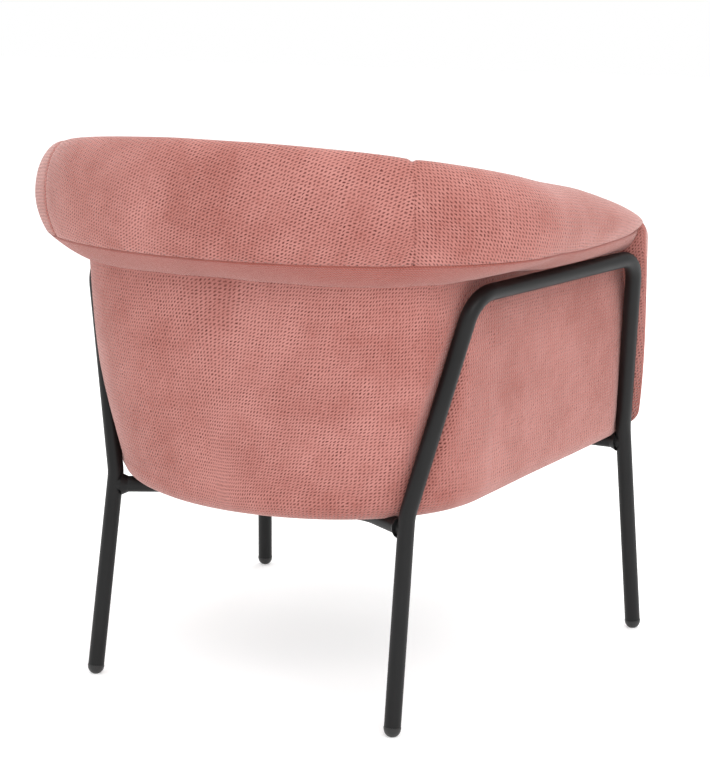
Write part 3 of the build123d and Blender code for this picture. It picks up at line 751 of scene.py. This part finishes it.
def arm_section(run):
    """Closed section of an arm front, run from 0 at the leg's plane to 1 at the front."""
    back_round = 0.004 * (1 - ease(run / 0.06)) ** 2
    front_round = 0.016 * ease((run - 0.72) / 0.28) ** 2
    inner = ARM_INSIDE - 0.006 + 0.018 * ease((run - 0.55) / 0.45) ** 2 + back_round * 0.2
    trim = back_round + front_round

    def top(y):
        return crown(y) - trim

    def bottom(y):
        return SHELL_BOTTOM + 0.018 - SHELL_SLOPE * y + trim

    def outer(y):
        return pad_width(y) - trim - 0.09 * (y + 0.24)

    def ridge(y):
        """X where the arm front is highest."""
        return outer(y) - ARM_RIDGE_INSET * min(1.0, (outer(y) - inner) / 0.11)

    def spot(x_of_y, height_of_y):
        """A point of this section, whose y follows from its height, because the section leans."""
        y = -0.25
        for _ in range(4):
            start = front_limit(height_of_y(y)) - 0.001
            y = start + run * (ARM_FRONT_END - start)
        return (x_of_y(y), y, height_of_y(y))

    def lower_radius(y):
        return min(ARM_LOWER_RADIUS, (outer(y) - inner) / 2)

    def outer_height(y, share):
        """Height on the outside, at a share of the straight run from its lower to its upper rounding."""
        low, high = bottom(y) + ARM_LOWER_RADIUS, top(y) - ARM_FRONT_RISE
        return low + (high - low) * share

    def inner_height(y, share):
        """The same on the inside."""
        low, high = bottom(y) + ARM_INNER_RADIUS, top(y) - ARM_INNER_DROP
        return low + (high - low) * share

    row = []
    for step in range(9):
        side, rise = superellipse(pi / 2 * (1 - step / 8), 2)
        row.append(spot(lambda y, s=side: outer(y) - lower_radius(y) * (1 - s),
                        lambda y, h=rise: bottom(y) + ARM_LOWER_RADIUS * (1 - h)))
    for step in range(1, 30):
        row.append(spot(outer, lambda y, h=step / 30: outer_height(y, h)))
    for step in range(13):
        side, height = superellipse(pi / 2 * step / 12, 2.05)
        row.append(spot(lambda y, s=side: ridge(y) + (outer(y) - ridge(y)) * s,
                        lambda y, h=height: top(y) - ARM_FRONT_RISE * (1 - h)))
    for step in range(1, 11):
        side, depth = superellipse(pi / 2 * step / 10, 2.1)
        row.append(spot(lambda y, d=depth: ridge(y) - (ridge(y) - inner) * d,
                        lambda y, h=side: top(y) - ARM_INNER_DROP * (1 - h)))
    for step in range(1, 30):
        row.append(spot(lambda y: inner, lambda y, h=1 - step / 30: inner_height(y, h)))
    for step in range(1, 9):
        share = step / 9
        row.append(spot(lambda y, s=share: inner + (outer(y) - ARM_LOWER_RADIUS - inner) * s,
                        lambda y, s=share: bottom(y) + ARM_INNER_RADIUS * (1 - s) ** 2))
    return row


def make_arm_fronts():
    """The padded front of each arm, just ahead of the front leg."""
    rows = [arm_section((1 - cos(pi * step / 48)) / 2) for step in range(49)]
    for side, name in ((1, "left"), (-1, "right")):
        side_rows = rows if side > 0 else mirror_rows(rows)
        piece = skin(f"arm_front_cover_{name}_cloth", side_rows, PINK, ring=True, caps=True)
        fit_piece(piece, "cover_fabric", f"arm_front_cover_{name}", f"arm_front_foam_{name}")


# ---------------------------------------------------------------- seat
SEAT_SETBACK = 0.012                    # the cushion's front before it is stuffed, behind its CAD box
SEAT_WIDENING = 0.014                   # on each side, where the cushion fills the gap to the arm fronts
SEAT_BOW = 0.010                        # how far the front edge bows forward in the middle
STUFFING_FRAMES = 20


def seat_edge(inset, height):
    """Outline of the seat cushion at one level: it widens between the arm fronts."""
    share = (height - WALL_BOTTOM) / (SHELL_TOP - WALL_BOTTOM)
    shape = between(INSIDE_BOTTOM, INSIDE_TOP, share)
    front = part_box("seat_cover")[0][1] + SEAT_SETBACK + inset
    edge = []
    for x, y, z in outline_level(shape, inset + 0.002, height, SHELL_SLOPE, front, 14, 40):
        edge.append((x + copysign(SEAT_WIDENING * ease((-0.14 - y) / 0.08), x), y, z))
    width, z = edge[0][0], height - SHELL_SLOPE * front
    for step in range(1, 16):
        share = step / 16
        edge.append((width * (2 * share - 1), front - SEAT_BOW * sin(pi * share), z))
    return edge


def seat_form():
    """The seat cushion before it is stuffed, as a closed stack of outlines."""
    low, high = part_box("seat_cover")
    bottom, top = low[2] + 0.011, high[2] - 0.024
    # Each level's distance in from the edge, and its share of the height.
    levels = [(0.045, 0.0), (0.016, 0.010), (0.002, 0.16), (0.0, 0.5), (0.002, 0.80), (0.014, 0.93),
              (0.040, 0.985), (0.09, 1.0), (0.15, 1.03)]
    return [seat_edge(inset, bottom + (top - bottom) * share) for inset, share in levels]


def stuff(piece, voxel, pressure, cap):
    """Swell a closed form as filling does: remesh, inflate as cloth, cap the travel, and apply it."""
    remesh = piece.modifiers.new("remesh", "REMESH")
    remesh.mode = "VOXEL"
    remesh.voxel_size = voxel
    apply_modifiers(piece)
    before = [vertex.co.copy() for vertex in piece.data.vertices]
    cloth = piece.modifiers.new("cloth", "CLOTH")
    cloth.settings.use_pressure = True
    cloth.settings.uniform_pressure_force = pressure
    cloth.settings.quality = 5
    cloth.settings.effector_weights.gravity = 0.0
    for number in range(1, STUFFING_FRAMES + 1):
        bpy.context.scene.frame_set(number)
    apply_modifiers(piece)
    bpy.context.scene.frame_set(1)
    for vertex, start in zip(piece.data.vertices, before):
        travel = vertex.co - start
        if travel.length > cap:
            vertex.co = start + travel * (cap / travel.length)
    rounded = piece.modifiers.new("rounded", "SUBSURF")
    rounded.levels = 1
    apply_modifiers(piece)


def apply_modifiers(piece):
    """Put the modifiers' result in the mesh."""
    evaluated = piece.evaluated_get(bpy.context.evaluated_depsgraph_get())
    mesh = bpy.data.meshes.new_from_object(evaluated)
    piece.modifiers.clear()
    old, piece.data = piece.data, mesh
    bpy.data.meshes.remove(old)


def wrap_cloth(piece, turn_down):
    """Lay the weave over a form from above, turning down over its sides."""
    mesh = piece.data
    layer = mesh.uv_layers.get("cloth") or mesh.uv_layers.new(name="cloth")
    for polygon in mesh.polygons:
        polygon.use_smooth = True
        normal = polygon.normal
        for loop in polygon.loop_indices:
            co = mesh.vertices[mesh.loops[loop].vertex_index].co
            if abs(normal.z) > turn_down:
                layer.data[loop].uv = (co.x, co.y)
            elif abs(normal.x) > abs(normal.y):
                layer.data[loop].uv = (co.y, co.z)
            else:
                layer.data[loop].uv = (co.x, co.z)


def make_seat():
    """The seat cushion, swelled by its filling."""
    piece = skin("seat_cover_cloth", seat_form(), PINK, ring=True, caps=True)
    stuff(piece, voxel=0.006, pressure=4.0, cap=0.012)
    wrap_cloth(piece, 0.6)
    fit_piece(piece, "cover_fabric", "seat_cover", "seat_foam")


BORDER_OVERLAP = 0.012                  # past the CAD border at each end, into the arm fronts
BORDER_RISE = 0.010                     # and above it, under the cushion


def make_front_border():
    """The padded band below the seat cushion, between the arm fronts."""
    low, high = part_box("front_border")
    thickness, top = high[1] - low[1], high[2] + BORDER_RISE
    rows = []
    for step in range(61):
        share = step / 60
        x = low[0] - BORDER_OVERLAP + (high[0] - low[0] + 2 * BORDER_OVERLAP) * share
        edge = ease(share / 0.07) + ease((1 - share) / 0.07) - 1
        row = []
        for turn in range(32):
            side, rise = superellipse(2 * pi * turn / 32, 3.2)
            y = (low[1] + high[1]) / 2 + thickness / 2 * side * (0.7 + 0.3 * edge) + 0.014 * (1 - edge)
            z = (low[2] + top) / 2 + (top - low[2]) / 2 * rise * (0.97 + 0.03 * edge)
            row.append(soften((x, y, z), (0, 1, 0), 0.0012, 0.05, 11.0))
        rows.append(row)
    piece = skin("front_border_cloth", rows, PINK, ring=True, caps=True)
    fit_piece(piece, "cover_fabric", "front_border")


# ---------------------------------------------------------------- dust cover
DUST_INSET = 0.050                      # its edge, in from the shell's bottom outline
DUST_GAP = 0.0015                       # below the top of the CAD cover
PLATE_GAP = 0.005                       # from the cloth's cut edge to a mounting plate


def half_width_at(y, outline):
    """Half width of an outline at y."""
    for (x0, y0), (x1, y1) in zip(outline, outline[1:]):
        if y0 <= y <= y1 and y1 > y0:
            return x0 + (x1 - x0) * (y - y0) / (y1 - y0)
    return 0.004


def cut_round(piece, neighbour, gap):
    """Cut a sheet away where it would touch a neighbour; returns the area that is left."""
    cut = bmesh.new()
    cut.from_mesh(piece.data)
    gone = []
    for face in cut.faces:
        centre = face.calc_center_median()
        if (neighbour.closest_point_on_mesh(centre)[1] - centre).length < gap:
            gone.append(face)
    bmesh.ops.delete(cut, geom=gone, context="FACES")
    area = sum(face.calc_area() for face in cut.faces)
    cut.to_mesh(piece.data)
    cut.free()
    return area


def make_dust_cover():
    """The thin cloth stretched under the base board, cut round the frame's four plates."""
    low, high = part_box("dust_cover")
    width, length = high[0] - low[0], high[1] - low[1]
    outline = outline_level(OUTSIDE_BOTTOM, DUST_INSET, 0.0, 0.0, low[1])
    half = [(x, y) for x, y, _ in outline if x >= 0]
    tilt = (high[2] - low[2]) / length
    rows = []
    for step in range(101):
        y = low[1] + length * step / 100
        z = high[2] - DUST_GAP - tilt * (y - low[1])
        reach = half_width_at(y, half)
        rows.append([(reach * (2 * column / 80 - 1), y, z) for column in range(81)])
    piece = skin("dust_cover_cloth", rows, dust_cloth("black_nonwoven_sheet"), guide=40, flip=True)
    area = cut_round(piece, bpy.data.objects["mounting_plates"], PLATE_GAP)
    fit_piece(piece, "dust_cloth", "dust_cover")


# ---------------------------------------------------------------- nodes kept from the CAD model
FINISHES = {
    "frame_tube": coated_steel,
    "foot_plastic": moulded_plastic,
    "fastener_steel": zinc_steel,
    "plywood": lambda: raw_timber("birch_plywood", (0.56, 0.40, 0.24, 1), (0.40, 0.26, 0.14, 1)),
    "hardwood": lambda: raw_timber("raw_hardwood", (0.50, 0.33, 0.18, 1), (0.34, 0.20, 0.10, 1)),
    "hardboard": lambda: raw_timber("brown_fibreboard", (0.22, 0.13, 0.07, 1), (0.15, 0.085, 0.045, 1)),
    "spring_wire": zinc_steel,
    "felt": lambda: plain_cloth("grey_felt", (0.09, 0.09, 0.088, 1), (0.17, 0.165, 0.16, 1), 500.0, 0.9),
    "dust_cloth": lambda: dust_cloth("black_nonwoven"),
}


def finish_cad_nodes():
    """Give every CAD node that still shows a detailed material."""
    made = {}
    for part in frame["record"]["subparts"]:
        finish = part["material_slot"]
        if finish not in FINISHES:
            continue
        if finish not in made:
            made[finish] = FINISHES[finish]()
        for slot in bpy.data.objects[part["node"]].material_slots:
            slot.material = made[finish]


# ---------------------------------------------------------------- studio
FLOOR_REACH = 14.0
FLOOR_GREY = (0.80, 0.80, 0.80, 1)
FLOOR_GLOW = 0.38                       # lifts the lit floor to white
LAMPS = [                               # name, place, size in metres and power in watts
    ("key", (-2.6, 2.3, 3.2), 2.4, 68.0),
    ("fill", (3.2, 1.6, 2.2), 2.6, 6.0),
    ("front", (0.4, -3.4, 2.8), 2.6, 40.0),
    ("top", (0.0, 0.0, 3.6), 2.2, 36.0),
]
LAMP_AIM = Vector((0, 0, 0.4))
CAMERA_AT = (-1.462, 2.427, 0.965)
CAMERA_YAW = radians(149.39)            # from +Y towards +X
CAMERA_PITCH = radians(-11.55)
LENS = 97.44                            # focal length in mm, on a sensor 36 mm across
SENSOR = 36.0


def make_studio():
    """A white floor that fades into the background, and four large soft lights."""
    floor_mesh = bpy.data.meshes.new("studio_floor")
    corners = [(a * FLOOR_REACH, b * FLOOR_REACH, 0) for a, b in ((-1, -1), (1, -1), (1, 1), (-1, 1))]
    floor_mesh.from_pydata(corners, [], [(0, 1, 2, 3)])
    floor = bpy.data.objects.new("studio_floor", floor_mesh)
    bpy.context.scene.collection.objects.link(floor)
    material, _, shader = new_material("studio_white")
    shader.inputs["Base Color"].default_value = FLOOR_GREY
    shader.inputs["Emission Color"].default_value = (1, 1, 1, 1)
    shader.inputs["Emission Strength"].default_value = FLOOR_GLOW
    shader.inputs["Roughness"].default_value = 0.9
    shader.inputs["Specular IOR Level"].default_value = 0.1
    floor_mesh.materials.append(material)
    world = bpy.data.worlds.new("studio")
    world.use_nodes = True
    world.node_tree.nodes["Background"].inputs[0].default_value = (1, 1, 1, 1)
    world.node_tree.nodes["Background"].inputs[1].default_value = 1.0
    bpy.context.scene.world = world
    for name, spot, size, power in LAMPS:
        light = bpy.data.lights.new(name, "AREA")
        light.size = size
        light.energy = power
        lamp = bpy.data.objects.new(name, light)
        lamp.location = spot
        aim = LAMP_AIM - Vector(spot)
        lamp.rotation_euler = aim.to_track_quat("-Z", "Y").to_euler()
        bpy.context.scene.collection.objects.link(lamp)


def make_camera():
    """A long lens behind the chair's right rear leg, level across."""
    camera_data = bpy.data.cameras.new("camera")
    camera_data.sensor_width = SENSOR
    camera_data.lens = LENS
    camera = bpy.data.objects.new("camera", camera_data)
    camera.location = CAMERA_AT
    level = cos(CAMERA_PITCH)
    forward = Vector((level * sin(CAMERA_YAW), level * cos(CAMERA_YAW), sin(CAMERA_PITCH)))
    camera.rotation_euler = forward.to_track_quat("-Z", "Y").to_euler()
    bpy.context.scene.collection.objects.link(camera)
    bpy.context.scene.camera = camera


make_camera()
make_studio()
finish_cad_nodes()
make_rim()
make_strip()
make_shell()
make_inside()
make_arm_fronts()
make_seat()
make_front_border()
make_dust_cover()
bpy.context.scene.view_settings.view_transform = "Standard"
